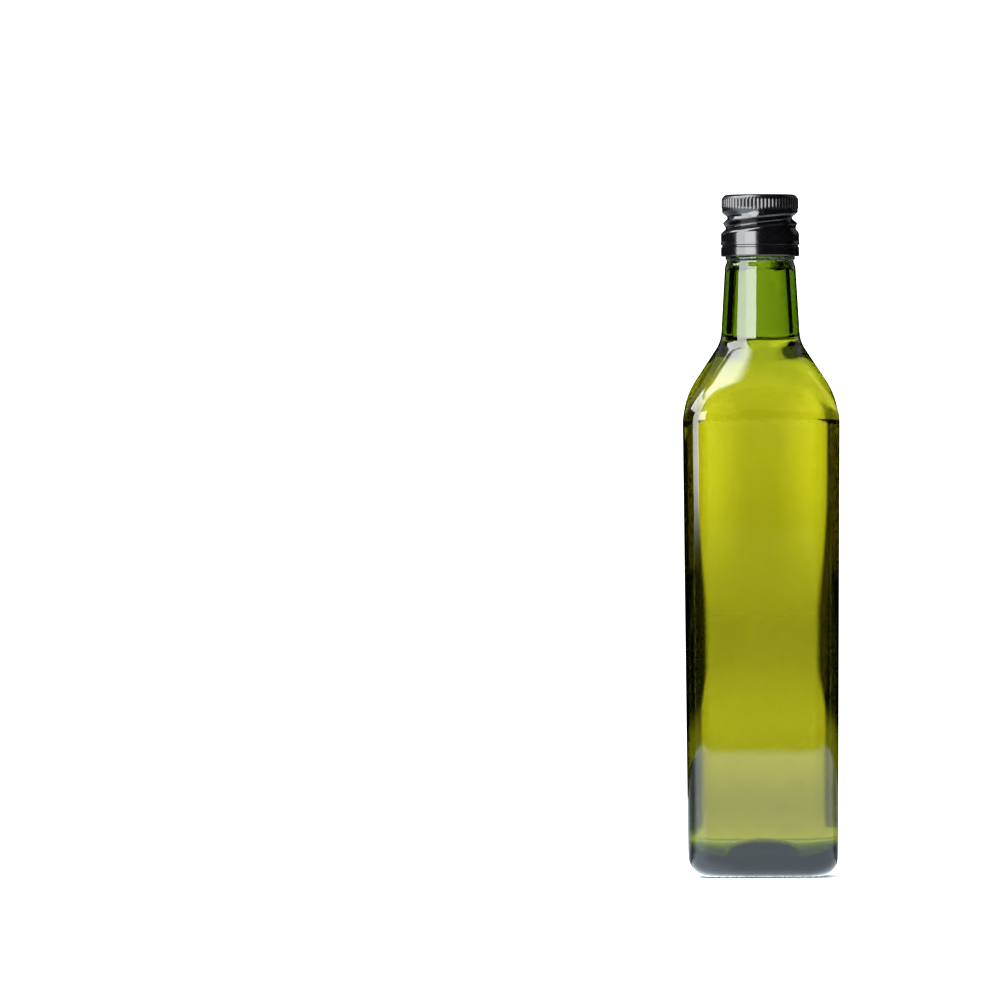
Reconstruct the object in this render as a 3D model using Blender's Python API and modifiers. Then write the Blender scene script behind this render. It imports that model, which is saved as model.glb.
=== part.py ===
"""A square glass bottle of olive oil with a roll-on aluminium screw cap.

Metres, +Z up. The origin is the middle of the ring that the bottle stands on. The bottle's four faces look
along -Y, +X, +Y and -X. It has three solids: the glass, the oil in it and the cap.
"""
import math

import bmesh
import bpy
from mathutils import Matrix, Vector

MM = 0.001
GAP = 0.3 * MM
OIL_CLEARANCE = 0.35 * MM

# Bottle outside: half widths across the flats, and heights
HEEL_HALF = 29.75 * MM
SHOULDER_HALF = 31.0 * MM
SHOULDER_Z = 189.5 * MM
NECK_FOOT_HALF = 15.8 * MM
NECK_FOOT_Z = 212.4 * MM
NECK_TOP_HALF = 13.9 * MM
NECK_TOP_Z = 245.0 * MM
BODY_CORNER = 9.0 * MM
HEEL_RADIUS = 7.5 * MM
SHOULDER_RADIUS = 30.0 * MM
NECK_RADIUS = 14.0 * MM

# Base: the flat ring it stands on and the push-up inside that ring
STAND_WIDTH = 2.6 * MM
PUNT_EDGE = 1.5 * MM
PUNT_RISE = 9.0 * MM
BASE_THICKNESS = 6.0 * MM
FLOOR_EDGE_Z = 4.5 * MM
FLOOR_EDGE_RUN = 12.0 * MM
FLOOR_EDGE_RISE = 3.5 * MM
FLOOR_CORNER_RADIUS = 4.5 * MM

# Finish: the part of the neck under the cap
FINISH_HALF = 13.3 * MM
BEAD_Z = (249.4 * MM, 252.6 * MM)
BEAD_HALF = 14.2 * MM
THREAD_ROOT = 12.0 * MM
THREAD_RIDGE = 0.8 * MM
RIM_Z = 269.6 * MM
BORE_HALF = 9.6 * MM
RIM_ROUND = 0.9 * MM

# Wall and contents
WALL = 3.0 * MM
INNER_CORNER_SHARE = 0.85
OIL_LEVEL = 213.1 * MM

# Cap: radii and heights
CAP_TOP = 270.8 * MM
CAP_BOTTOM = 246.5 * MM
CAP_WALL = 0.5 * MM
CAP_LIP = 13.9 * MM
BAND_HALF = 15.55 * MM
SCORE_Z = 250.3 * MM
SCORE_DEPTH = 0.35 * MM
SCORE_HALF_HEIGHT = 0.4 * MM
SKIRT_HALF = 15.55 * MM
SKIRT_BEAD = 15.75 * MM
SKIRT_TOP = 256.4 * MM
GROOVED_HALF = 15.1 * MM
KNURL_Z = (264.9 * MM, 268.9 * MM)
KNURL_ROOT = 14.85 * MM
KNURL_RIB = 0.42 * MM
KNURLS = 66
CAP_EDGE = 2.2 * MM

# The cap's two rolled grooves climb to the right, and the glass has a ridge between them
THREAD_STARTS = 2
THREAD_LEAD = 9.5 * MM
GROOVE_RADIUS = 2.2 * MM
GROOVE_START = math.radians(150)
GROOVE_TURN = math.radians(310)
GROOVE_FADE = math.radians(60)
GROOVE_START_Z = 257.0 * MM
RIDGE_TURN = math.radians(232)

FLAT_STEPS = 3
CORNER_STEPS = 6
ARC_STEPS = 4
CAP_STEPS = 44
HOLLOW_STEPS = 33
HOLLOW_ARC_STEPS = 2
HELIX_STEP = math.radians(12)


def clear_scene():
    for item in list(bpy.data.objects):
        bpy.data.objects.remove(item, do_unlink=True)


def make_collection(name):
    made = bpy.data.collections.new(name)
    bpy.context.scene.collection.children.link(made)
    return made


def finish(name, colour, roughness, metallic=0.0, transmission=0.0, ior=1.5):
    made = bpy.data.materials.new(name)
    made.use_nodes = True
    made.diffuse_color = (*colour, 1.0)
    shader = made.node_tree.nodes["Principled BSDF"]
    shader.inputs["Base Color"].default_value = (*colour, 1.0)
    shader.inputs["Roughness"].default_value = roughness
    shader.inputs["Metallic"].default_value = metallic
    shader.inputs["Transmission Weight"].default_value = transmission
    shader.inputs["IOR"].default_value = ior
    return made


def add_object(name, mesh, collection, material=None):
    made = bpy.data.objects.new(name, mesh)
    collection.objects.link(made)
    if material:
        mesh.materials.append(material)
    return made


def as_guide(item):
    item.hide_render = True
    item.display_type = "WIRE"
    return item


def fillet(before, corner, after, radius, steps=ARC_STEPS):
    """Points of the arc that rounds a corner of an outline in the (half width, height) plane."""
    to_before = (Vector(before) - Vector(corner)).normalized()
    to_after = (Vector(after) - Vector(corner)).normalized()
    half_angle = to_before.angle(to_after) / 2
    centre = Vector(corner) + (to_before + to_after).normalized() * radius / math.sin(half_angle)
    tangent = radius / math.tan(half_angle)
    first = Vector(corner) + to_before * tangent - centre
    last = Vector(corner) + to_after * tangent - centre
    sweep = first.angle_signed(last)
    turned = [first @ Matrix.Rotation(sweep * k / steps, 2) for k in range(steps + 1)]
    return [tuple(centre + point) for point in turned]


def section_angles():
    """Directions of one ring's points: few on the flats and more round the corners."""
    flat_end = math.atan((SHOULDER_HALF - BODY_CORNER) / SHOULDER_HALF)
    stops = [(0.0, flat_end, FLAT_STEPS), (flat_end, math.pi / 2 - flat_end, CORNER_STEPS)]
    stops.append((math.pi / 2 - flat_end, math.pi / 2, FLAT_STEPS))
    quarter = [start + (end - start) * k / count for start, end, count in stops for k in range(count)]
    return [angle + side * math.pi / 2 for side in range(4) for angle in quarter]


def section_radius(angle, half, corner):
    """How far a rounded square's edge is from its middle in one direction."""
    folded = abs((angle + math.pi / 4) % (math.pi / 2) - math.pi / 4)
    if half * math.tan(folded) <= half - corner:
        return half / math.cos(folded)
    centre = half - corner
    along = centre * (math.cos(folded) + math.sin(folded))
    return along + math.sqrt(along * along - 2 * centre * centre + corner * corner)


def corner_at(half, height):
    """Corner radius of the outside at one height: round at the neck, easing into the square body."""
    share = (height - SHOULDER_Z + SHOULDER_RADIUS * 0.5) / (NECK_FOOT_Z - SHOULDER_Z + SHOULDER_RADIUS * 0.5)
    share = min(max(share, 0.0), 1.0)
    share = share * share * (3 - 2 * share)
    return min(BODY_CORNER + (half - BODY_CORNER) * share, half)


def ring(half, height, corner):
    points = []
    for angle in section_angles():
        reach = section_radius(angle, half, corner)
        points.append(Vector((reach * math.cos(angle), reach * math.sin(angle), height)))
    return points


def loft(name, rings, first_pole, last_pole):
    """A closed mesh through rings of equal count, shut by a point or a flat face at each end."""
    shape = bmesh.new()
    rows = [[shape.verts.new(point) for point in points] for points in rings]
    count = len(rows[0])
    for lower, upper in zip(rows, rows[1:]):
        for k in range(count):
            after = (k + 1) % count
            shape.faces.new((lower[k], lower[after], upper[after], upper[k]))
    for row, pole in ((rows[0], first_pole), (rows[-1], last_pole)):
        if pole is None:
            shape.faces.new(row)
            continue
        tip = shape.verts.new((0.0, 0.0, pole))
        for k in range(count):
            shape.faces.new((row[k], row[(k + 1) % count], tip))
    bmesh.ops.recalc_face_normals(shape, faces=shape.faces)
    mesh = bpy.data.meshes.new(name)
    shape.to_mesh(mesh)
    shape.free()
    return mesh


def outer_outline():
    """The bottle's outside from the standing ring up to the foot of the finish."""
    heel = (HEEL_HALF, 0.0)
    stand = (HEEL_HALF - HEEL_RADIUS - STAND_WIDTH, 0.0)
    shoulder = (SHOULDER_HALF, SHOULDER_Z)
    neck_foot = (NECK_FOOT_HALF, NECK_FOOT_Z)
    neck_top = (NECK_TOP_HALF, NECK_TOP_Z)
    points = [stand]
    points += fillet(stand, heel, shoulder, HEEL_RADIUS)
    points += fillet(heel, shoulder, neck_foot, SHOULDER_RADIUS)
    points += fillet(shoulder, neck_foot, neck_top, NECK_RADIUS)
    points.append(neck_top)
    return points


def finish_outline():
    """The outside of the finish, from the small ledge under the cap up to the rim and over it."""
    bead_foot, bead_top = BEAD_Z
    slope = BEAD_HALF - FINISH_HALF
    points = [(FINISH_HALF, NECK_TOP_Z + 0.3 * MM), (FINISH_HALF, bead_foot - slope)]
    points += [(BEAD_HALF, bead_foot), (BEAD_HALF, bead_top - slope), (THREAD_ROOT, bead_top + slope)]
    points.append((THREAD_ROOT, RIM_Z - RIM_ROUND))
    points.append((THREAD_ROOT - RIM_ROUND, RIM_Z))
    points.append((BORE_HALF + RIM_ROUND, RIM_Z))
    points.append((BORE_HALF, RIM_Z - RIM_ROUND))
    return points


def inner_outline():
    """The inside from the neck down to the floor's edge."""
    neck_top = (NECK_TOP_HALF - WALL, NECK_TOP_Z)
    neck_foot = (NECK_FOOT_HALF - WALL, NECK_FOOT_Z - WALL * 0.3)
    shoulder = (SHOULDER_HALF - WALL, SHOULDER_Z - WALL * 0.3)
    floor = (HEEL_HALF - WALL, FLOOR_EDGE_Z)
    floor_in = (HEEL_HALF - WALL - FLOOR_EDGE_RUN, FLOOR_EDGE_Z + FLOOR_EDGE_RISE)
    points = [neck_top] + fillet(neck_top, neck_foot, shoulder, NECK_RADIUS)
    points += fillet(neck_foot, shoulder, floor, SHOULDER_RADIUS - WALL)
    points += fillet(shoulder, floor, floor_in, FLOOR_CORNER_RADIUS)
    return points


def half_at(outline, height):
    """Half width of an outline that runs downwards, at one height."""
    for (half, top), (next_half, foot) in zip(outline, outline[1:]):
        if foot <= height <= top:
            return half + (next_half - half) * (top - height) / (top - foot)
    return outline[-1][0]


def dome(edge_half, edge_z, top_z, steps=4):
    """Rings of a shallow dome, from its edge towards its middle."""
    rise = top_z - edge_z
    turns = [math.pi / 2 * k / steps for k in range(1, steps)]
    return [(edge_half * math.cos(turn), edge_z + rise * math.sin(turn)) for turn in turns]


def outer_ring(point):
    half, height = point
    return ring(half, height, corner_at(half, height))


def inner_ring(point):
    half, height = point
    return ring(half, height, corner_at(half, height) * INNER_CORNER_SHARE)


def base_ring(point):
    """Rings of the underside and the floor grow rounder towards the middle."""
    half, height = point
    share = min(max(1 - half / (HEEL_HALF - HEEL_RADIUS), 0.0), 1.0)
    return ring(half, height, half * (0.3 + 0.7 * share))


def helix(name, radius_at, tube, start, turn, start_z, collection, sides_resolution=1):
    """A tube that climbs round the Z axis. radius_at gives its distance from the axis along its way, 0 to 1."""
    curve = bpy.data.curves.new(name, "CURVE")
    curve.dimensions = "3D"
    curve.bevel_depth = tube
    curve.bevel_resolution = sides_resolution
    curve.use_fill_caps = True
    count = round(turn / HELIX_STEP) + 1
    spline = curve.splines.new("POLY")
    spline.points.add(count - 1)
    for k, point in enumerate(spline.points):
        share = k / (count - 1)
        angle = start + turn * share
        reach = radius_at(share)
        height = start_z + THREAD_LEAD * turn * share / math.tau
        point.co = (reach * math.cos(angle), reach * math.sin(angle), height, 1.0)
    guide = bpy.data.objects.new(name, curve)
    collection.objects.link(guide)
    evaluated = guide.evaluated_get(bpy.context.evaluated_depsgraph_get())
    mesh = bpy.data.meshes.new_from_object(evaluated)
    place = guide.matrix_world.copy()
    bpy.data.objects.remove(guide, do_unlink=True)
    shape = bmesh.new()
    shape.from_mesh(mesh)
    bmesh.ops.remove_doubles(shape, verts=shape.verts, dist=0.01 * MM)
    bmesh.ops.recalc_face_normals(shape, faces=shape.faces)
    shape.to_mesh(mesh)
    shape.free()
    made = add_object(name, mesh, collection)
    made.matrix_world = place
    return as_guide(made)


def groove_reach(share):
    """Distance of a groove's middle from the axis: it runs out of the cap's side at both ends."""
    fade = GROOVE_FADE / GROOVE_TURN
    nearest_end = min(share, 1 - share)
    out = max(0.0, 1 - nearest_end / fade)
    return GROOVED_HALF + GROOVE_RADIUS * out * out


def ridge_reach(share):
    """Distance of a glass ridge's middle from the axis: its ends sink into the neck."""
    nearest_end = min(share, 1 - share)
    return THREAD_ROOT - THREAD_RIDGE * max(0.0, 1 - nearest_end * 8)


def boolean(target, cutter, operation):
    step = target.modifiers.new(operation.title(), "BOOLEAN")
    step.operation = operation
    step.object = cutter
    step.solver = "EXACT"
    return step


def turned(name, profile, collection, steps=CAP_STEPS):
    """A solid turned from a profile at +X, listed from the top of the axis down to its foot."""
    mesh = bpy.data.meshes.new(name)
    points = [(half, 0.0, height) for half, height in profile]
    edges = [(k, k + 1) for k in range(len(points) - 1)]
    mesh.from_pydata(points, edges, [])
    made = add_object(name, mesh, collection)
    screw = made.modifiers.new("Turn", "SCREW")
    screw.steps = steps
    screw.render_steps = steps
    screw.use_merge_vertices = True
    screw.merge_threshold = 0.01 * MM
    return made


def make_glass(parts, cutters, material):
    stand_inner = HEEL_HALF - HEEL_RADIUS - STAND_WIDTH
    punt_half = stand_inner - PUNT_EDGE
    punt = [(punt_half, PUNT_EDGE)] + dome(punt_half, PUNT_EDGE, PUNT_RISE)
    inside = inner_outline()
    floor_half, floor_z = inside[-1]
    floor = dome(floor_half, floor_z, PUNT_RISE + BASE_THICKNESS)
    rings = [base_ring(point) for point in reversed(punt)]
    rings += [outer_ring(point) for point in outer_outline() + finish_outline()]
    rings += [inner_ring(point) for point in inside]
    rings += [base_ring(point) for point in floor]
    mesh = loft("glass_bottle", rings, PUNT_RISE, PUNT_RISE + BASE_THICKNESS)
    glass = add_object("glass_bottle", mesh, parts, material)
    for k in range(THREAD_STARTS):
        start = GROOVE_START + math.pi / 2 + k * math.tau / THREAD_STARTS
        ridge = helix(f"ridge_{k + 1}", ridge_reach, THREAD_RIDGE, start, RIDGE_TURN, GROOVE_START_Z, cutters)
        boolean(glass, ridge, "UNION")
    return glass


def make_oil(parts, material):
    """The oil follows the glass's inside up to the level, and stays a gap away from it all over."""
    inside = inner_outline()
    below_level = [point for point in inside if point[1] < OIL_LEVEL - GAP]
    floor_half, floor_z = inside[-1]
    floor_top = PUNT_RISE + BASE_THICKNESS
    rings = [inner_ring((half_at(inside, OIL_LEVEL), OIL_LEVEL))] + [inner_ring(point) for point in below_level]
    rings += [base_ring(point) for point in dome(floor_half, floor_z, floor_top)]
    oil = add_object("olive_oil", loft("olive_oil", rings, None, floor_top), parts, material)
    shrink = oil.modifiers.new("Clearance", "DISPLACE")
    shrink.strength = -OIL_CLEARANCE
    shrink.mid_level = 0.0
    return oil


def cap_outline(inset, top, arc_steps):
    """The cap's side from the middle of its top down to its skirt, moved in by inset."""
    edge = CAP_EDGE - inset
    arc = [math.pi / 2 * k / arc_steps for k in range(arc_steps + 1)]
    corner_half = KNURL_ROOT - CAP_EDGE
    corner_z = CAP_TOP - CAP_EDGE
    points = [(0.0, top), (corner_half, top)]
    points += [(corner_half + edge * math.sin(turn), corner_z + edge * math.cos(turn)) for turn in arc[1:]]
    points.append((KNURL_ROOT - inset, KNURL_Z[0]))
    points.append((GROOVED_HALF - inset, KNURL_Z[0] - 1.0 * MM))
    points.append((GROOVED_HALF - inset, SKIRT_TOP + 0.6 * MM))
    points.append((SKIRT_HALF - inset, SKIRT_TOP))
    return points


def make_cap(parts, cutters, material):
    outline = cap_outline(0.0, CAP_TOP, ARC_STEPS)
    outline += [
        (SKIRT_HALF, SCORE_Z + 4 * SCORE_HALF_HEIGHT),
        (SKIRT_BEAD, SCORE_Z + 2 * SCORE_HALF_HEIGHT),
        (BAND_HALF - SCORE_DEPTH, SCORE_Z + SCORE_HALF_HEIGHT),
        (BAND_HALF - SCORE_DEPTH, SCORE_Z - SCORE_HALF_HEIGHT),
        (BAND_HALF, SCORE_Z - 2 * SCORE_HALF_HEIGHT),
        (BAND_HALF, CAP_BOTTOM + 0.8 * MM),
        (BAND_HALF - 0.8 * MM, CAP_BOTTOM),
        (0.0, CAP_BOTTOM),
    ]
    cap = turned("screw_cap", outline, parts)
    cap.data.materials.append(material)

    hollow_outline = cap_outline(CAP_WALL + SCORE_DEPTH, RIM_Z + GAP, HOLLOW_ARC_STEPS)
    hollow_outline += [
        (SKIRT_HALF - CAP_WALL - SCORE_DEPTH, CAP_BOTTOM + 1.6 * MM),
        (CAP_LIP, CAP_BOTTOM + 0.7 * MM),
        (CAP_LIP, CAP_BOTTOM - 1.0 * MM),
        (0.0, CAP_BOTTOM - 1.0 * MM),
    ]
    hollow = as_guide(turned("cap_hollow", hollow_outline, cutters, HOLLOW_STEPS))

    ribs = bmesh.new()
    rib_height = KNURL_Z[1] - KNURL_Z[0]
    for k in range(KNURLS):
        turn = Matrix.Rotation(math.tau * (k + 0.5) / KNURLS, 4, "Z")
        place = Matrix.Translation((KNURL_ROOT, 0.0, sum(KNURL_Z) / 2))
        bmesh.ops.create_cone(ribs, cap_ends=True, segments=6, radius1=KNURL_RIB, radius2=KNURL_RIB,
                              depth=rib_height, matrix=turn @ place)
    ribs_mesh = bpy.data.meshes.new("cap_ribs")
    ribs.to_mesh(ribs_mesh)
    ribs.free()
    ribs_object = as_guide(add_object("cap_ribs", ribs_mesh, cutters))

    for k in range(THREAD_STARTS):
        start = GROOVE_START + k * math.tau / THREAD_STARTS
        spared = helix(f"spared_{k + 1}", groove_reach, GROOVE_RADIUS + CAP_WALL, start, GROOVE_TURN,
                       GROOVE_START_Z, cutters)
        boolean(hollow, spared, "DIFFERENCE")
        groove = helix(f"groove_{k + 1}", groove_reach, GROOVE_RADIUS, start, GROOVE_TURN,
                       GROOVE_START_Z, cutters)
        boolean(cap, groove, "DIFFERENCE")
    boolean(cap, ribs_object, "UNION")
    boolean(cap, hollow, "DIFFERENCE")
    return cap


def main():
    clear_scene()
    parts = make_collection("olive_oil_bottle")
    cutters = make_collection("cutters")
    glass = finish("green_glass", (0.16, 0.27, 0.03), 0.03, transmission=1.0, ior=1.52)
    oil = finish("olive_oil", (0.62, 0.55, 0.03), 0.02, transmission=1.0, ior=1.47)
    lacquer = finish("black_lacquered_aluminium", (0.01, 0.01, 0.012), 0.22, metallic=0.3)
    make_glass(parts, cutters, glass)
    make_oil(parts, oil)
    make_cap(parts, cutters, lacquer)
    for item in parts.objects:
        item.data.shade_smooth()
        item.data.set_sharp_from_angle(angle=math.radians(35))


main()
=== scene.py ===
"""A square green glass bottle of olive oil with a black roll-on cap, on a pale table in studio light."""

import logging
import math
from dataclasses import dataclass
from enum import Enum
from typing import Callable, Iterable, Optional, Sequence

import bmesh
import bpy
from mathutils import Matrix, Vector

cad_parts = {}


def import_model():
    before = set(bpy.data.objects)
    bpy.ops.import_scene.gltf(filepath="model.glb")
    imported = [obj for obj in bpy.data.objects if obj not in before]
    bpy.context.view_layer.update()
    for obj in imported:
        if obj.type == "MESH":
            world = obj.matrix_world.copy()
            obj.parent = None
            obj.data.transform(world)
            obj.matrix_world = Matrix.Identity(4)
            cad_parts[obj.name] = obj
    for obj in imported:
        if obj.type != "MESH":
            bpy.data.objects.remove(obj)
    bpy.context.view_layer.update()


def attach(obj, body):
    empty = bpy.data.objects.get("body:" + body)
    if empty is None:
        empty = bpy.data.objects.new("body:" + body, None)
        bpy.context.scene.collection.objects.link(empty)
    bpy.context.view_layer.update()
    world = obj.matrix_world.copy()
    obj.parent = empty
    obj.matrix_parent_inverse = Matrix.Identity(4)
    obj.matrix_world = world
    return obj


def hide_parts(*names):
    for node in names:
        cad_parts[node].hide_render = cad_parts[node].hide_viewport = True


MM = 0.001
DEG = math.pi / 180
BLACK = (0.0, 0.0, 0.0, 1.0)
LOG = logging.getLogger("olive_oil_bottle")
Point = tuple[float, float]
Colour = tuple[float, float, float, float]
BODY = "root"


class Piece(Enum):
    """The CAD nodes that this scene dresses."""

    GLASS = "glass_bottle"
    OIL = "olive_oil"
    CAP = "screw_cap"


class Ray(Enum):
    """The kinds of light path that a studio card can be seen by."""

    CAMERA = "visible_camera"
    DIFFUSE = "visible_diffuse"
    GLOSSY = "visible_glossy"
    TRANSMISSION = "visible_transmission"
    SHADOW = "visible_shadow"


class Channel:
    """A shader socket that Python's arithmetic works on, adding Math nodes."""

    def __init__(self, maker: "MaterialMaker", socket: bpy.types.NodeSocket) -> None:
        """Wraps one output socket of a material's node tree."""
        self.maker = maker
        self.socket = socket

    def __add__(self, other: "Channel | float") -> "Channel":
        """self + other."""
        return self.maker.math("ADD", self, other)

    __radd__ = __add__

    def __mul__(self, other: "Channel | float") -> "Channel":
        """self * other."""
        return self.maker.math("MULTIPLY", self, other)

    __rmul__ = __mul__

    def __sub__(self, other: "Channel | float") -> "Channel":
        """self - other."""
        return self.maker.math("SUBTRACT", self, other)

    def __rsub__(self, other: "Channel | float") -> "Channel":
        """other - self."""
        return self.maker.math("SUBTRACT", other, self)

    def over(self, low: float, high: float) -> "Channel":
        """Goes smoothly from 0 at low to 1 at high.

        Args:
            low: the value below which the result is 0.
            high: the value above which the result is 1.

        Returns:
            The eased share.
        """
        settings = {"interpolation_type": "SMOOTHSTEP"}
        return self.maker.node("ShaderNodeMapRange", settings, {0: self, 1: low, 2: high, 3: 0.0, 4: 1.0})

    def between(self, rise: Point, fall: Point) -> "Channel":
        """Goes smoothly from 0 to 1 over the rise, and back to 0 over the fall."""
        return self.over(*rise) * (1 - self.over(*fall))


class MaterialMaker:
    """Makes one material's nodes."""

    def __init__(self, name: str) -> None:
        """Starts a material with only a Principled shader and its output.

        Args:
            name: the material's name.
        """
        self.material = bpy.data.materials.new(name)
        self.material.use_nodes = True
        self.tree = self.material.node_tree
        self.shader = self.tree.nodes["Principled BSDF"]
        self.output = self.tree.nodes["Material Output"]

    def node(self, kind: str, settings: Optional[dict] = None, inputs: Optional[dict] = None,
             output: "int | str" = 0) -> Channel:
        """Adds a node.

        Args:
            kind: the node's type.
            settings: its own settings, set before its sockets.
            inputs: the values or channels of its sockets, by name or number.
            output: the output socket that is wanted.

        Returns:
            That output.
        """
        made = self.tree.nodes.new(kind)
        for key, value in (settings or {}).items():
            setattr(made, key, value)
        for key, value in (inputs or {}).items():
            self.feed(made.inputs[key], value)
        return Channel(self, made.outputs[output])

    def feed(self, socket: bpy.types.NodeSocket, value: "Channel | float | Sequence[float]") -> None:
        """Links a channel to a socket, or sets its value.

        Args:
            socket: the input socket.
            value: the channel, or the value.
        """
        if isinstance(value, Channel):
            self.tree.links.new(value.socket, socket)
        else:
            socket.default_value = value

    def set(self, **inputs: "Channel | float | Sequence[float]") -> None:
        """Feeds the Principled shader's sockets, named with _ for each space."""
        for key, value in inputs.items():
            self.feed(self.shader.inputs[key.replace("_", " ")], value)

    def set_black(self, **inputs: "Channel | float | Sequence[float]") -> None:
        """Feeds the shader of a surface that gives no light back, such as a net or a softbox's cloth."""
        self.set(Base_Color=BLACK, Roughness=1.0, Specular_IOR_Level=0.0, **inputs)

    def math(self, operation: str, *values: "Channel | float") -> Channel:
        """Adds one Math node on these values."""
        return self.node("ShaderNodeMath", {"operation": operation}, dict(enumerate(values)))

    def place(self) -> Channel:
        """Object coordinates."""
        return self.node("ShaderNodeTexCoord", output="Object")

    def axis(self, name: str) -> Channel:
        """One object coordinate, X, Y or Z, in metres."""
        return self.node("ShaderNodeSeparateXYZ", inputs={0: self.place()}, output=name)

    def noise(self, scale: float, detail: float = 2.0,
              stretch: Sequence[float] = (1.0, 1.0, 1.0)) -> Channel:
        """Noise from 0 to 1 on object coordinates.

        Args:
            scale: how many blobs there are to a metre.
            detail: how many finer layers it has.
            stretch: its scale along each axis.

        Returns:
            The noise value.
        """
        spot = self.node("ShaderNodeMapping", inputs={"Vector": self.place(), "Scale": stretch})
        return self.node("ShaderNodeTexNoise", inputs={"Vector": spot, "Scale": scale, "Detail": detail})

    def turn(self) -> Channel:
        """The angle about the vertical axis, 0 behind the bottle and positive to its right."""
        return self.math("ARCTAN2", self.axis("X"), self.axis("Y"))

    def off_middle(self, turn: Channel) -> Channel:
        """How far an angle is from the middle of the nearest of four sides."""
        return self.math("ABSOLUTE", self.math("WRAP", turn, math.pi / 4, -math.pi / 4))

    def reach(self) -> Channel:
        """How far a point is from the vertical axis, in metres."""
        flat = self.node("ShaderNodeMapping", inputs={"Vector": self.place(), "Scale": (1.0, 1.0, 0.0)})
        return self.node("ShaderNodeVectorMath", {"operation": "LENGTH"}, {0: flat}, "Value")

    def blend(self, share: "Channel | float", first: "Channel | Sequence[float]",
              second: "Channel | Sequence[float]") -> Channel:
        """Mixes two colours.

        Args:
            share: 0 gives the first colour, 1 the second.
            first: the first colour.
            second: the second colour.

        Returns:
            The mixed colour.
        """
        return self.node("ShaderNodeMix", {"data_type": "RGBA"}, {0: share, 6: first, 7: second}, 2)

    def relief(self, height: Channel, depth: float) -> Channel:
        """A normal from a height map, depth metres deep."""
        return self.node("ShaderNodeBump", inputs={"Height": height, "Distance": depth, "Strength": 1.0})

    def absorb(self, colour: Sequence[float], density: float) -> None:
        """Tints light by the way it goes through the solid.

        Args:
            colour: the colour that the light goes to.
            density: how fast, per metre.
        """
        made = self.tree.nodes.new("ShaderNodeVolumeAbsorption")
        made.inputs["Color"].default_value = (*colour, 1.0)
        made.inputs["Density"].default_value = density
        self.tree.links.new(made.outputs[0], self.output.inputs["Volume"])


@dataclass(frozen=True)
class ClearFinish:
    """A clear tinted solid: its tint comes from the depth that light goes through."""

    name: str
    ior: float
    kept_per_mm: tuple[float, float, float]
    ripple: float
    ripple_scale: float
    haze: float

    def make(self) -> bpy.types.Material:
        """Builds the material.

        Returns:
            The material, with faint ripples and an uneven polish.
        """
        maker = MaterialMaker(self.name)
        losses = [-math.log(kept) / MM for kept in self.kept_per_mm]
        density = max(losses)
        maker.absorb([1 - loss / density for loss in losses], density)
        ripples = maker.noise(self.ripple_scale, 1.5, (1.0, 1.0, 0.35))
        polish = maker.noise(60.0, 3.0).over(0.45, 0.75)
        tint = maker.blend(maker.noise(25.0), (1.0, 1.0, 1.0, 1.0), (0.985, 1.0, 0.985, 1.0))
        maker.set(Base_Color=tint, Metallic=0.0, IOR=self.ior, Transmission_Weight=1.0,
                  Roughness=self.haze * polish, Normal=maker.relief(ripples, self.ripple))
        return maker.material


@dataclass(frozen=True)
class LacquerFinish:
    """Black lacquer baked on thin aluminium."""

    name: str = "black_lacquer"
    colour: Colour = (0.0012, 0.0012, 0.0014, 1.0)
    worn: Colour = (0.012, 0.012, 0.014, 1.0)
    crest_half: float = 15.0 * MM
    crest_soft: float = 0.2 * MM
    band_from: Point = (264.0 * MM, 265.5 * MM)
    roughness: float = 0.16
    band_roughness: float = 0.07
    crest_roughness: float = 0.14
    scuff_roughness: float = 0.05
    peel: float = 0.006 * MM

    def make(self) -> bpy.types.Material:
        """Builds the material.

        Returns:
            The material: duller and a little paler on the knurls' crests, with a fine orange peel.
        """
        maker = MaterialMaker(self.name)
        band = maker.axis("Z").over(*self.band_from)
        crests = maker.reach().over(self.crest_half, self.crest_half + self.crest_soft) * band
        scuffs = maker.noise(900.0, 4.0).over(0.52, 0.7)
        wear = crests * (0.4 + 0.6 * scuffs)
        dull = self.band_roughness * band + self.crest_roughness * wear + self.scuff_roughness * scuffs
        maker.set(Base_Color=maker.blend(wear, self.colour, self.worn), Metallic=0.0, IOR=1.55,
                  Roughness=self.roughness + dull, Coat_Weight=0.15 - 0.1 * wear, Coat_Roughness=0.05,
                  Normal=maker.relief(maker.noise(1400.0, 2.0), self.peel))
        return maker.material


@dataclass(frozen=True)
class TableFinish:
    """The pale studio table."""

    name: str = "pale_table"
    colour: Colour = (0.985, 0.985, 0.985, 1.0)
    shade: Colour = (0.972, 0.972, 0.976, 1.0)

    def make(self) -> bpy.types.Material:
        """Builds the material.

        Returns:
            The material: faintly clouded, and with no shine, so that it is as pale at every angle.
        """
        maker = MaterialMaker(self.name)
        cloudy = maker.noise(1.4, 2.0)
        maker.set(Base_Color=maker.blend(cloudy, self.colour, self.shade), Roughness=0.55 + 0.1 * cloudy,
                  Specular_IOR_Level=0.0)
        return maker.material


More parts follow.
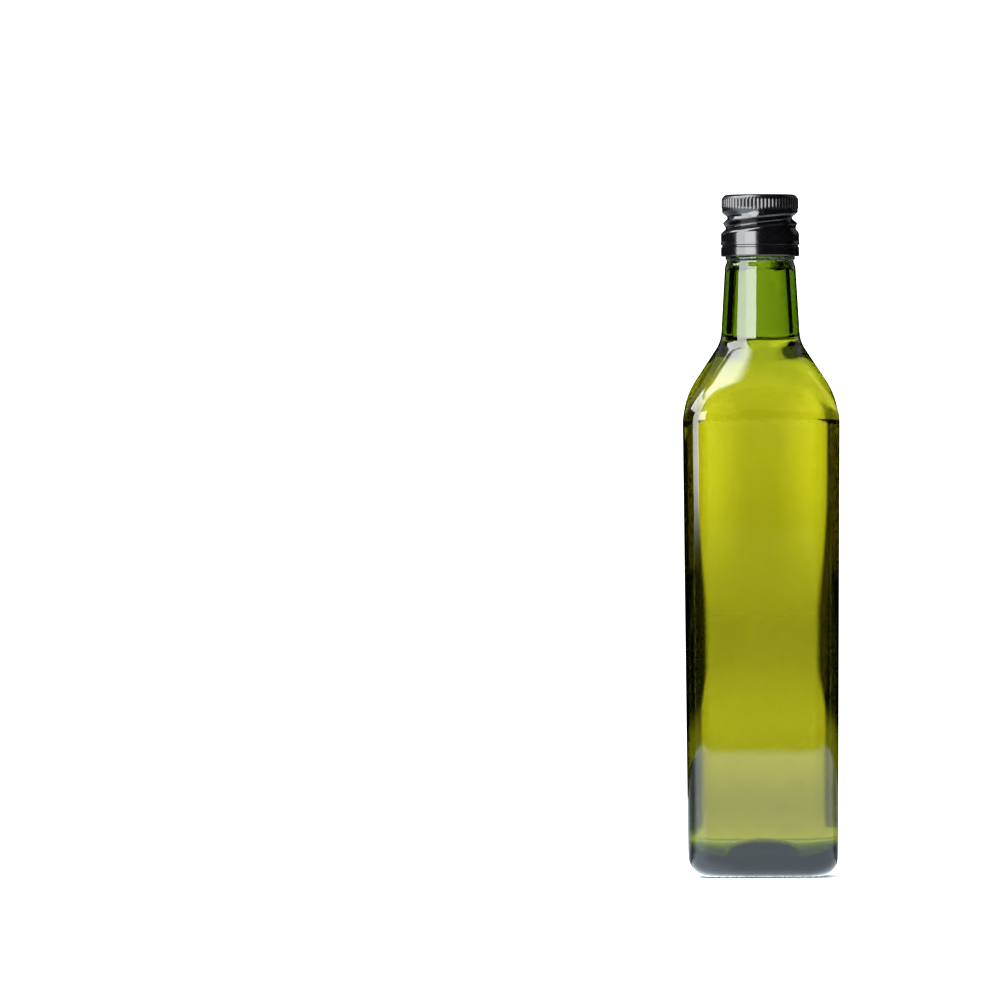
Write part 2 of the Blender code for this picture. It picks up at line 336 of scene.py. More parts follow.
class Bench:
    """Edit-mode work on one mesh: what an operator acts on is selected in code first."""

    def __init__(self, name: str) -> None:
        """Starts from a plane at the origin, 2 m wide, so that scaling it sets its half width.

        Args:
            name: the object's name.
        """
        if bpy.context.object and bpy.context.object.mode != "OBJECT":
            bpy.ops.object.mode_set(mode="OBJECT")
        bpy.ops.object.select_all(action="DESELECT")
        bpy.ops.mesh.primitive_plane_add(size=2.0, location=(0.0, 0.0, 0.0))
        self.item = bpy.context.object
        self.item.name = name
        bpy.ops.object.mode_set(mode="EDIT")
        bpy.ops.mesh.select_mode(type="VERT")

    def shape(self) -> bmesh.types.BMesh:
        """The mesh as it is being edited."""
        return bmesh.from_edit_mesh(self.item.data)

    def pick(self, wanted: Callable[[bmesh.types.BMVert], bool]) -> int:
        """Selects just the vertices that answer to a rule, with the edges and faces between them.

        Args:
            wanted: the rule.

        Returns:
            How many it selected.
        """
        bpy.ops.mesh.select_all(action="DESELECT")
        shape = self.shape()
        count = 0
        for vertex in shape.verts:
            if wanted(vertex):
                vertex.select_set(True)
                count += 1
        shape.select_flush(True)
        bmesh.update_edit_mesh(self.item.data, loop_triangles=False, destructive=False)
        return count

    def picked(self) -> list[bmesh.types.BMVert]:
        """The vertices that are selected."""
        return [vertex for vertex in self.shape().verts if vertex.select]

    def single(self, spot: Sequence[float]) -> None:
        """Shrinks the starting plane to one vertex.

        Args:
            spot: where the vertex goes.
        """
        bpy.ops.mesh.select_all(action="SELECT")
        bpy.ops.mesh.merge(type="CENTER")
        bpy.ops.transform.translate(value=spot)

    def draw(self, points: Sequence[Point]) -> None:
        """Extrudes a line of vertices through an outline.

        Args:
            points: its (half width, height) points.
        """
        self.single((points[0][0], 0.0, points[0][1]))
        for (half, height), (next_half, next_height) in zip(points, points[1:]):
            step = (next_half - half, 0.0, next_height - height)
            bpy.ops.mesh.extrude_region_move(TRANSFORM_OT_translate={"value": step})

    def spin(self, steps: int) -> None:
        """Turns the drawn line about the vertical axis into a closed surface.

        Args:
            steps: how many columns the surface has.
        """
        bpy.ops.mesh.select_all(action="SELECT")
        bpy.ops.mesh.spin(steps=steps, angle=math.tau, center=(0.0, 0.0, 0.0), axis=(0.0, 0.0, 1.0))
        bpy.ops.mesh.select_all(action="SELECT")
        bpy.ops.mesh.remove_doubles(threshold=0.005 * MM)
        self.face_out()

    def squeeze(self, factor: float, height: float = 0.0) -> None:
        """Scales what is selected towards the vertical axis."""
        bpy.ops.transform.resize(value=(factor, factor, 1.0), center_override=(0.0, 0.0, height))

    def face_out(self) -> None:
        """Turns every face outwards."""
        bpy.ops.mesh.select_all(action="SELECT")
        bpy.ops.mesh.normals_make_consistent(inside=False)

    def done(self, smooth_over: float = 180.0) -> bpy.types.Object:
        """Leaves edit mode and shades the piece smooth.

        Args:
            smooth_over: edges sharper than this many degrees stay sharp.

        Returns:
            The object.
        """
        bpy.ops.object.mode_set(mode="OBJECT")
        bpy.ops.object.select_all(action="DESELECT")
        self.item.select_set(True)
        bpy.context.view_layer.objects.active = self.item
        bpy.ops.object.shade_smooth_by_angle(angle=smooth_over * DEG)
        return self.item


def apply_modifier(item: bpy.types.Object, kind: str, **settings: object) -> None:
    """Adds a modifier and applies it.

    Args:
        item: the object.
        kind: the modifier's type.
        settings: its settings.
    """
    bpy.context.view_layer.objects.active = item
    step = item.modifiers.new(kind.title(), kind)
    for key, value in settings.items():
        setattr(step, key, value)
    bpy.ops.object.modifier_apply(modifier=step.name)


def rounded(before: Point, corner: Point, after: Point, radius: float, steps: int) -> list[Point]:
    """The arc that rounds a corner of an outline.

    Args:
        before: the outline's point before the corner.
        corner: the corner.
        after: the point after it.
        radius: the arc's radius.
        steps: how many steps the arc has.

    Returns:
        The arc's points.
    """
    to_before = (Vector(before) - Vector(corner)).normalized()
    to_after = (Vector(after) - Vector(corner)).normalized()
    half_angle = to_before.angle(to_after) / 2
    centre = Vector(corner) + (to_before + to_after).normalized() * radius / math.sin(half_angle)
    first = Vector(corner) + to_before * radius / math.tan(half_angle) - centre
    last = Vector(corner) + to_after * radius / math.tan(half_angle) - centre
    sweep = math.atan2(first.x * last.y - first.y * last.x, first.dot(last))
    points = []
    for k in range(steps + 1):
        turn = sweep * k / steps
        across = first.x * math.cos(turn) - first.y * math.sin(turn)
        up = first.x * math.sin(turn) + first.y * math.cos(turn)
        points.append((centre.x + across, centre.y + up))
    return points


def half_at(outline: Sequence[Point], height: float) -> float:
    """The half width of an outline that goes upwards, at a height.

    Args:
        outline: the (half width, height) points from the foot up.
        height: the height.

    Returns:
        The half width there, or the top's half width for a height above it.
    """
    for (half, low), (next_half, high) in zip(outline, outline[1:]):
        if low <= height <= high and high > low:
            return half + (next_half - half) * (height - low) / (high - low)
    return outline[-1][0]


def dome(edge: Point, top: float, steps: int) -> list[Point]:
    """Rings of a shallow dome from near its edge towards its middle.

    Args:
        edge: the half width and height of its edge.
        top: the height of its middle.
        steps: how many rings.

    Returns:
        The rings, outermost first, without the edge itself.
    """
    half, height = edge
    turns = [math.pi / 2 * k / (steps + 1) for k in range(1, steps + 1)]
    return [(half * math.cos(turn), height + (top - height) * math.sin(turn)) for turn in turns]


@dataclass
class SquareToRound:
    """A wall that is square with round corners at its foot and round at its top, raised ring by ring."""

    name: str
    corner: float
    corner_segments: int = 9
    flat_cuts: int = 23

    def start(self, half: float, height: float) -> None:
        """Lays the first ring: a square with bevelled corners and divided sides.

        Args:
            half: its half width.
            height: its height.
        """
        self.bench = Bench(self.name)
        self.height = height
        self.round_share = 0.0
        bpy.ops.mesh.select_all(action="SELECT")
        bpy.ops.transform.resize(value=(half, half, 1.0))
        bpy.ops.transform.translate(value=(0.0, 0.0, height))
        bpy.ops.mesh.bevel(offset=self.corner, segments=self.corner_segments, affect="VERTICES")
        bpy.ops.mesh.delete(type="ONLY_FACE")
        bpy.ops.mesh.select_all(action="DESELECT")
        shape = self.bench.shape()
        for edge in shape.edges:
            edge.select_set(edge.calc_length() > half)
        bmesh.update_edit_mesh(self.bench.item.data)
        bpy.ops.mesh.subdivide(number_cuts=self.flat_cuts)
        bpy.ops.mesh.select_all(action="SELECT")

    def raise_to(self, half: float, height: float, round_share: float) -> None:
        """Extrudes the selected ring to the next one.

        Args:
            half: the next ring's half width.
            height: its height.
            round_share: 0 for the square ring, 1 for a circle.
        """
        bpy.ops.mesh.extrude_region_move(TRANSFORM_OT_translate={"value": (0.0, 0.0, height - self.height)})
        more = (round_share - self.round_share) / max(1 - self.round_share, 1e-6)
        if more > 1e-6:
            bpy.ops.transform.tosphere(value=min(more, 1.0))
            self.round_share = round_share
        now = max(vertex.co.x for vertex in self.bench.picked())
        self.bench.squeeze(half / now, height)
        self.height = height

    def close(self) -> None:
        """Fills the ring that is selected with a grid of faces."""
        bpy.ops.mesh.fill_grid(span=self.corner_segments + self.flat_cuts + 1)

    def pick_foot(self, height: float) -> None:
        """Selects the wall's square lowest ring again.

        Args:
            height: its height.
        """
        near = 0.01 * MM
        self.bench.pick(lambda vertex: abs(vertex.co.z - height) < near)
        self.height = height
        self.round_share = 0.0


@dataclass
class Bottle:
    """The glass bottle and the oil in it."""

    heel_half: float = 29.4 * MM
    shoulder_half: float = 30.9 * MM
    shoulder_z: float = 189.5 * MM
    neck_foot_half: float = 15.8 * MM
    neck_foot_z: float = 212.4 * MM
    neck_top_half: float = 13.9 * MM
    neck_top_z: float = 245.0 * MM
    neck_rings: tuple[float, ...] = (224 * MM, 234 * MM, 240.8 * MM, 242.3 * MM)
    notch_half: float = 13.3 * MM
    notch_z: tuple[float, float, float] = (243.3 * MM, 244.2 * MM, 244.7 * MM)
    ledge_z: Point = (244.95 * MM, 245.3 * MM)
    corner: float = 9.0 * MM
    heel_radius: float = 7.5 * MM
    shoulder_radius: float = 30.0 * MM
    side_rings: tuple[float, ...] = (30 * MM, 70 * MM, 110 * MM, 150 * MM, 172 * MM, 179 * MM)
    round_from: float = 0.3
    neck_radius: float = 14.0 * MM
    stand_width: float = 1.8 * MM
    stipple: float = 0.45 * MM
    stipple_edge: float = 0.12 * MM
    stipple_every: int = 3
    punt_edge: float = 0.9 * MM
    punt_rise: float = 9.0 * MM
    punt_rings: int = 8
    floor_top: float = 15.0 * MM
    floor_rings: int = 9
    floor_edge_z: float = 4.5 * MM
    floor_edge_rise: float = 2.6 * MM
    floor_edge_run: float = 9.5 * MM
    floor_corner: float = 10.0 * MM
    wall: float = 1.9 * MM
    neck_wall: float = 3.9 * MM
    shoulder_wall: float = 2.1 * MM
    thickening: tuple[Point, ...] = ((211.6 * MM, 2.6 * MM), (213.2 * MM, 3.3 * MM), (214.8 * MM, 3.8 * MM))
    inner_neck_rings: tuple[float, ...] = (216.5 * MM, 220 * MM, 230 * MM)
    inner_corner: float = 7.5 * MM
    finish_half: float = 13.3 * MM
    bead_half: float = 14.2 * MM
    bead_z: Point = (249.4 * MM, 252.6 * MM)
    thread_root: float = 12.0 * MM
    rim_z: float = 269.6 * MM
    rim_round: float = 0.9 * MM
    bore_half: float = 9.6 * MM
    oil_level: float = 213.1 * MM
    oil_into_wall: float = 0.15 * MM
    meniscus: float = 1.1 * MM
    creep: tuple[Point, ...] = ((0.35 * MM, 0.55), (0.9 * MM, 0.25), (1.7 * MM, 0.08), (2.8 * MM, 0.0))
    level_rings: tuple[float, ...] = (0.6, 0.35, 0.12)
    glass_finish: ClearFinish = ClearFinish(name="green_glass", ior=1.52, kept_per_mm=(0.771, 0.823, 0.513),
                                            ripple=0.02 * MM, ripple_scale=28.0, haze=0.02)
    oil_finish: ClearFinish = ClearFinish(name="olive_oil", ior=1.38, kept_per_mm=(0.9988, 0.9943, 0.956),
                                          ripple=0.005 * MM, ripple_scale=15.0, haze=0.0)

    def round_at(self, height: float) -> float:
        """How round the section is at a height.

        Args:
            height: the height.

        Returns:
            0 in the square body, 1 from the neck's foot up.
        """
        low = self.shoulder_z - self.shoulder_radius * self.round_from
        share = min(max((height - low) / (self.neck_foot_z - low), 0.0), 1.0)
        return share * share * (3 - 2 * share)

    def outside(self) -> list[Point]:
        """The outline from the standing ring's outer edge up to the ledge under the cap.

        Returns:
            The outline's points.
        """
        stand_z = self.stipple
        heel = (self.heel_half, stand_z)
        stand = (self.heel_half - self.heel_radius - self.stand_width, stand_z)
        shoulder = (self.shoulder_half, self.shoulder_z)
        neck_foot = (self.neck_foot_half, self.neck_foot_z)
        neck_top = (self.neck_top_half, self.neck_top_z)
        points = rounded(stand, heel, shoulder, self.heel_radius, 8)
        points += [(self.side_half(height), height) for height in self.side_rings]
        points += rounded(heel, shoulder, neck_foot, self.shoulder_radius, 14)
        points += rounded(shoulder, neck_foot, neck_top, self.neck_radius, 8)
        points += [(self.neck_half(height), height) for height in self.neck_rings]
        for more, height in zip((0.25 * MM, 0.0, 0.05 * MM), self.notch_z):
            points.append((self.notch_half + more, height))
        points += [(self.neck_top_half - 0.1 * MM, self.ledge_z[0]), (self.neck_top_half, self.ledge_z[1])]
        return points

    def side_half(self, height: float) -> float:
        """Half width of the straight side at a height."""
        share = height / self.shoulder_z
        return self.heel_half + (self.shoulder_half - self.heel_half) * share

    def neck_half(self, height: float) -> float:
        """Half width of the straight neck at a height."""
        share = (height - self.neck_foot_z) / (self.neck_top_z - self.neck_foot_z)
        return self.neck_foot_half + (self.neck_top_half - self.neck_foot_half) * share

    def finish(self) -> list[Point]:
        """The outline of the finish under the cap, up to the rim and in towards the bore.

        Returns:
            The outline's points.
        """
        foot, top = self.bead_z
        slope = self.bead_half - self.finish_half
        points = [(self.neck_top_half - 0.05 * MM, 246.1 * MM), (self.finish_half, 246.5 * MM)]
        points += [(self.finish_half, foot - slope), (self.bead_half, foot), (self.bead_half, top - slope)]
        points += [(self.thread_root, top + slope), (self.thread_root, self.rim_z - self.rim_round)]
        quarter = [math.pi / 2 * k / 5 for k in range(1, 6)]
        edge = self.thread_root - self.rim_round
        round_z = self.rim_z - self.rim_round
        points += [(edge + self.rim_round * math.cos(turn), round_z + self.rim_round * math.sin(turn))
                   for turn in quarter]
        return points

    def inside(self, grow: float = 0.0) -> list[Point]:
        """The outline of the inside, from the floor's edge up to the top of the neck.

        Args:
            grow: how far it is pushed out into the glass.

        Returns:
            The outline's points.
        """
        wall, foot_wall, neck_wall = self.wall - grow, self.shoulder_wall - grow, self.neck_wall - grow
        floor_z = self.floor_edge_z - grow
        floor_in = (self.heel_half - wall - self.floor_edge_run, floor_z + self.floor_edge_rise)
        floor = (self.heel_half - wall, floor_z)
        shoulder = (self.shoulder_half - wall, self.shoulder_z - wall * 0.3)
        neck_foot = (self.neck_foot_half - foot_wall, self.neck_foot_z - foot_wall * 0.3)
        points = rounded(floor_in, floor, shoulder, self.floor_corner, 8)
        points += [(self.side_half(height) - wall, height) for height in self.side_rings]
        points += rounded(floor, shoulder, neck_foot, self.shoulder_radius - wall, 12)
        low = self.thickening[0][0] - 1.0 * MM
        neck = rounded(shoulder, neck_foot, (self.neck_top_half - foot_wall, self.neck_top_z),
                       self.neck_radius + foot_wall, 8)
        points += [point for point in neck if point[1] < low]
        outside = self.outside()
        points += [(half_at(outside, height) - wide + grow, height) for height, wide in self.thickening]
        points += [(half_at(outside, height) - neck_wall, height) for height in self.inner_neck_rings]
        points.append((self.neck_top_half - neck_wall, self.neck_top_z))
        return points

    def raise_wall(self, name: str, outline: Sequence[Point], corner: float) -> SquareToRound:
        """Raises a wall through an outline.

        Args:
            name: the object's name.
            outline: (half width, height) points from the foot up.
            corner: the corner radius of a section as wide as the shoulder.

        Returns:
            The wall, its top ring selected.
        """
        wall = SquareToRound(name, corner * outline[0][0] / self.shoulder_half)
        wall.start(*outline[0])
        for half, height in outline[1:]:
            wall.raise_to(half, height, self.round_at(height))
        return wall

    @staticmethod
    def shut_foot(wall: SquareToRound, foot_z: float, rings: Sequence[Point]) -> None:
        """Closes a wall's foot with rings that grow rounder towards the middle.

        Args:
            wall: the wall.
            foot_z: the height of its lowest ring.
            rings: the rings inside it.
        """
        wall.pick_foot(foot_z)
        for k, (half, height) in enumerate(rings):
            wall.raise_to(half, height, (k + 1) / (len(rings) + 1))
        wall.close()

    def build_glass(self) -> bpy.types.Object:
        """Models the glass: an outer and an inner wall, bridged at the rim.

        Returns:
            The glass, closed, with its stippled standing ring.
        """
        rim, mouth = self.rim_z, self.rim_z - self.rim_round
        inner_outline = self.inside() + [(self.bore_half, self.bead_z[1]), (self.bore_half, mouth)]
        inner = self.raise_wall("glass_inside", inner_outline, self.inner_corner)
        self.shut_foot(inner, inner_outline[0][1], dome(inner_outline[0], self.floor_top, self.floor_rings))
        inner_item = inner.bench.done()

        outline = self.outside() + self.finish()
        outer = self.raise_wall("bottle_glass", outline, self.corner)
        stand_in = (outline[0][0] - self.stand_width, self.stipple)
        punt_foot = (stand_in[0] - self.punt_edge, self.stipple + self.punt_edge)
        rings = [stand_in, punt_foot] + dome(punt_foot, self.punt_rise, self.punt_rings)
        self.shut_foot(outer, outline[0][1], rings)
        self.press_stipples(outer.bench)
        item = outer.bench.done()

        bpy.ops.object.select_all(action="DESELECT")
        inner_item.select_set(True)
        item.select_set(True)
        bpy.context.view_layer.objects.active = item
        bpy.ops.object.join()
        bpy.ops.object.mode_set(mode="EDIT")
        bench = outer.bench
        near = 0.02 * MM
        bench.pick(lambda v: v.is_boundary and (abs(v.co.z - rim) < near or abs(v.co.z - mouth) < near))
        bpy.ops.mesh.bridge_edge_loops()
        bench.face_out()
        return bench.done()

    def press_stipples(self, bench: Bench) -> None:
        """Lowers every third patch of the standing ring to the table.

        Args:
            bench: the outer wall's bench.
        """
        bpy.ops.mesh.select_mode(type="FACE")
        bpy.ops.mesh.select_all(action="DESELECT")
        shape = bench.shape()
        near = 0.005 * MM
        flat = [face for face in shape.faces
                if len(face.verts) == 4 and all(abs(v.co.z - self.stipple) < near for v in face.verts)]
        flat.sort(key=lambda face: math.atan2(face.calc_center_median().y, face.calc_center_median().x))
        for k, face in enumerate(flat):
            face.select_set(k % self.stipple_every == 0)
        LOG.info("stipples: %d of %d patches", len(flat) // self.stipple_every, len(flat))
        bmesh.update_edit_mesh(bench.item.data)
        bpy.ops.mesh.inset(thickness=self.stipple_edge, use_individual=True)
        bpy.ops.mesh.extrude_region_move(TRANSFORM_OT_translate={"value": (0.0, 0.0, -self.stipple)})
        bpy.ops.mesh.select_mode(type="VERT")

    def build_oil(self) -> bpy.types.Object:
        """Models the oil: the bottle's inside, grown just into the glass, up to a level with a meniscus.

        Returns:
            The oil.
        """
        inside = self.inside(self.oil_into_wall)
        outline = [point for point in inside if point[1] < self.oil_level - 0.4 * MM]
        top_half = outline[-1][0]
        wall = self.raise_wall("oil", outline, self.inner_corner)
        edge_z = self.oil_level + self.meniscus
        edge_half = half_at(inside, edge_z)
        wall.raise_to(half_at(inside, self.oil_level), self.oil_level, self.round_at(self.oil_level))
        wall.raise_to(edge_half, edge_z, 1.0)
        for run, rise in self.creep:
            wall.raise_to(edge_half - run, self.oil_level + self.meniscus * rise, 1.0)
        for share in self.level_rings:
            wall.raise_to(top_half * share, self.oil_level, 1.0)
        wall.close()
        floor = dome(outline[0], self.floor_top - self.oil_into_wall, self.floor_rings)
        self.shut_foot(wall, outline[0][1], floor)
        wall.bench.face_out()
        return wall.bench.done()

    def dress(self) -> list[bpy.types.Object]:
        """Builds and finishes the glass and the oil.

        Returns:
            Both pieces.
        """
        oil = self.build_oil()
        glass = self.build_glass()
        for item in (oil, glass):
            apply_modifier(item, "SUBSURF", levels=1, render_levels=1)
        glass.data.materials.append(self.glass_finish.make())
        place_piece(glass, Piece.GLASS)
        oil.data.materials.append(self.oil_finish.make())
        place_piece(oil, Piece.OIL)
        return [glass, oil]


@dataclass
class Cap:
    """The black roll-on cap with its knurls, rolled grooves, scored line and tamper band."""

    top: float = 270.8 * MM
    bottom: float = 246.2 * MM
    edge: float = 2.2 * MM
    top_dips: tuple[Point, ...] = ((0.0, 0.1 * MM), (5.0 * MM, 0.08 * MM), (10.0 * MM, 0.03 * MM))
    wall: float = 0.45 * MM
    knurl_half: float = 15.05 * MM
    knurl_z: Point = (264.9 * MM, 268.9 * MM)
    knurls: int = 66
    knurl_depth: float = 0.26 * MM
    grooved_half: float = 15.1 * MM
    grooved_rows: float = 0.24 * MM
    skirt_half: float = 15.55 * MM
    skirt_top: float = 256.4 * MM
    skirt_bead: float = 15.75 * MM
    score_z: float = 250.3 * MM
    score_depth: float = 0.4 * MM
    score_step: float = 0.3 * MM
    lip_half: float = 13.9 * MM
    lead: float = 7.9 * MM
    groove_width: float = 2.4 * MM
    groove_depth: float = 2.3 * MM
    groove_start: float = 125 * DEG
    groove_turn: float = 340 * DEG
    groove_fades: Point = (85 * DEG, 125 * DEG)
    groove_start_z: float = 256.3 * MM
    groove_levels: int = 24
    groove_power: float = 0.8

    def profile(self) -> list[Point]:
        """The cap's wall from the middle of its top, down its outside, round its lip and up its inside.

        Returns:
            The wall's (half width, height) points.
        """
        quarter = [math.pi / 2 * k / 7 for k in range(8)]
        centre_half, centre_z = self.knurl_half - self.edge, self.top - self.edge
        outer = [(half, self.top - dip) for half, dip in self.top_dips]
        outer += [(centre_half + self.edge * math.sin(turn), centre_z + self.edge * math.cos(turn))
                  for turn in quarter]
        outer += self.rows(self.knurl_half, centre_z, self.knurl_z[0], 0.5 * MM)
        grooved = (self.knurl_z[0] - 0.5 * MM, self.skirt_top + 0.5 * MM)
        outer += self.rows(self.grooved_half, *grooved, self.grooved_rows)
        outer += self.rows(self.skirt_half, self.skirt_top, self.score_z + 1.5 * MM, 0.6 * MM)
        deep = self.skirt_half - self.score_depth
        score = ((self.skirt_bead, 3), (self.skirt_bead, 2), (deep, 1), (deep, -1), (self.skirt_half, -2))
        outer += [(half, self.score_z + steps * self.score_step) for half, steps in score]
        low_skirt = (self.score_z - 3 * self.score_step, self.bottom + 0.14 * MM)
        outer += self.rows(self.skirt_half, *low_skirt, 0.8 * MM)
        outer += [(self.skirt_half - 0.04 * MM, self.bottom + 0.03 * MM),
                  (self.skirt_half - 0.15 * MM, self.bottom)]
        outer.append((self.lip_half + 0.1 * MM, self.bottom + 0.2 * MM))
        inner = [(self.lip_half, self.bottom + 0.5 * MM),
                 (self.skirt_half - 2 * self.wall, self.bottom + 1.2 * MM)]
        inner += self.rows(deep - self.wall, self.bottom + 2.0 * MM, self.skirt_top, 0.8 * MM)
        inner += self.rows(self.grooved_half - self.wall, *reversed(grooved), self.grooved_rows)
        inner_edge = self.edge - self.wall
        inner += [(self.knurl_half - self.wall, self.knurl_z[0])]
        inner += [(centre_half + inner_edge * math.cos(turn), centre_z + inner_edge * math.sin(turn))
                  for turn in quarter]
        inner += [(6.0 * MM, self.top - self.wall), (0.0, self.top - self.wall)]
        return outer + inner

    @staticmethod
    def rows(half: float, start: float, end: float, spacing: float) -> list[Point]:
        """Evenly spaced points on a straight wall."""
        count = max(round(abs(end - start) / spacing), 1)
        return [(half, start + (end - start) * k / count) for k in range(count + 1)]

    def groove_share(self, spot: Vector) -> float:
        """How deep a rolled groove is at a point of the wall, from 0 to 1.

        Args:
            spot: the point.

        Returns:
            The deeper of the two grooves there.
        """
        deepest = 0.0
        angle = math.atan2(spot.y, spot.x)
        for begin, fade_turn in zip((self.groove_start, self.groove_start + math.pi), self.groove_fades):
            for turns in range(-1, 3):
                along = angle + turns * math.tau - begin
                if not 0.0 <= along <= self.groove_turn:
                    continue
                middle = self.groove_start_z + self.lead * along / math.tau
                away = abs(spot.z - middle) / self.groove_width
                if away >= 1.0:
                    continue
                end = min(along, self.groove_turn - along) / fade_turn
                fade = min(end, 1.0)
                fade = fade * fade * (3 - 2 * fade)
                deepest = max(deepest, fade * (0.5 + 0.5 * math.cos(math.pi * away)) ** self.groove_power)
        return deepest

    def roll_grooves(self, bench: Bench) -> None:
        """Presses the two grooves into the wall, one shallow level after another.

        Args:
            bench: the cap's bench.
        """
        top, foot = self.knurl_z[0] - 0.1 * MM, self.skirt_top - 0.6 * MM
        wall = [v for v in bench.shape().verts if foot < v.co.z < top]
        depth = {v.index: self.groove_share(v.co) * self.groove_depth for v in wall}
        for level in range(self.groove_levels):
            reach = self.groove_depth * (level + 0.5) / self.groove_levels
            if bench.pick(lambda v: depth.get(v.index, 0.0) > reach) == 0:
                continue
            shrink = self.groove_depth / self.groove_levels / (self.grooved_half - reach)
            bench.squeeze(1 - shrink)
        bench.pick(lambda v: v.index in depth)
        bpy.ops.mesh.vertices_smooth(factor=0.5, repeat=3)

    def cut_knurls(self, bench: Bench, steps: int) -> None:
        """Draws every knurl's crest out of the band.

        Args:
            bench: the cap's bench.
            steps: how many columns the cap has.
        """
        per_knurl = steps // self.knurls
        low, high = self.knurl_z[0] + 0.25 * MM, self.knurl_z[1] + 0.25 * MM
        outside = self.knurl_half - 0.3 * MM

        def column(vertex: bmesh.types.BMVert) -> int:
            """Which of its knurl's columns the vertex is on."""
            return round(math.atan2(vertex.co.y, vertex.co.x) / math.tau * steps) % per_knurl

        def on_band(vertex: bmesh.types.BMVert) -> bool:
            """Whether the vertex is on the outside of the band."""
            return low < vertex.co.z < high and math.hypot(vertex.co.x, vertex.co.y) > outside

        bench.pick(lambda v: on_band(v) and column(v) == 0)
        bench.squeeze(1 + self.knurl_depth / self.knurl_half)
        bench.pick(lambda v: on_band(v) and column(v) == per_knurl // 2)
        bench.squeeze(1 - 0.1 * MM / self.knurl_half)

    def build(self) -> bpy.types.Object:
        """Models the cap.

        Returns:
            The cap, closed.
        """
        steps = self.knurls * 4
        bench = Bench("roll_on_cap")
        bench.draw(self.profile())
        bench.spin(steps)
        self.cut_knurls(bench, steps)
        self.roll_grooves(bench)
        bench.face_out()
        return bench.done(50.0)

    def dress(self) -> list[bpy.types.Object]:
        """Builds and finishes the cap.

        Returns:
            The cap, in a list.
        """
        cap = self.build()
        cap.data.materials.append(LacquerFinish().make())
        place_piece(cap, Piece.CAP)
        return [cap]


def place_piece(item: bpy.types.Object, piece: Piece) -> None:
    """Puts a piece in the place of its CAD node.

    Args:
        item: the piece.
        piece: the node that it stands for.
    """
    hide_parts(piece.value)
    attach(item, BODY)
    triangles = sum(len(face.vertices) - 2 for face in item.data.polygons)
    LOG.info("%s stands for %s: %d triangles", item.name, piece.value, triangles)


def set_stage(name: str, material: bpy.types.Material, rays: Iterable[Ray]) -> bpy.types.Object:
    """Makes the object that was just added a piece of the stage.

    Args:
        name: its name.
        material: its material.
        rays: the kinds of light path that meet it.

    Returns:
        The object.
    """
    item = bpy.context.object
    item.name = name
    item.data.materials.append(material)
    kept = set(rays)
    for ray in Ray:
        setattr(item, ray.value, ray in kept)
    return item


@dataclass(frozen=True)
class CardFinish:
    """A softbox's cloth: evenly bright, fading towards its edges."""

    name: str
    colour: tuple[float, float, float]
    radiance: float
    fade_across: float
    fade_low: float
    fade_high: float

    def make(self) -> bpy.types.Material:
        """Builds the material for a plane of size 1 that stands on its Y axis.

        Returns:
            The material; its light depends on the place on the plane.
        """
        maker = MaterialMaker(self.name)
        across = maker.math("ABSOLUTE", maker.axis("X"))
        up = maker.axis("Y")
        share = 1 - across.over(0.5 - self.fade_across, 0.5)
        share = share * up.between((-0.5, -0.5 + self.fade_low), (0.5 - self.fade_high, 0.5))
        thinner = tuple(0.94 * part for part in self.colour)
        cloth = maker.blend(maker.noise(2.5), (*thinner, 1.0), (*self.colour, 1.0))
        maker.set_black(Alpha=share, Emission_Color=cloth, Emission_Strength=self.radiance)
        return maker.material


@dataclass(frozen=True)
class Softbox:
    """A soft white panel that faces the bottle."""

    name: str
    azimuth: float
    distance: float
    height: float
    size: Point
    radiance: float
    tilt: float = 0.0
    colour: tuple[float, float, float] = (0.97, 0.98, 1.0)
    fade_across: float = 0.12
    fade_low: float = 0.08
    fade_high: float = 0.12

    def hang(self) -> bpy.types.Object:
        """Hangs the panel; azimuth 0 is over the camera, and positive is to its left.

        Returns:
            The panel, seen by reflections and by what it lights.
        """
        right, back = -self.distance * math.sin(self.azimuth), -self.distance * math.cos(self.azimuth)
        bpy.ops.object.select_all(action="DESELECT")
        turn = (math.pi / 2 + self.tilt, 0.0, -self.azimuth)
        bpy.ops.mesh.primitive_plane_add(size=1.0, location=(right, back, self.height), rotation=turn)
        finish = CardFinish(self.name, self.colour, self.radiance,
                            self.fade_across, self.fade_low, self.fade_high)
        item = set_stage(self.name, finish.make(), [Ray.GLOSSY, Ray.DIFFUSE])
        item.scale = (*self.size, 1.0)
        return item


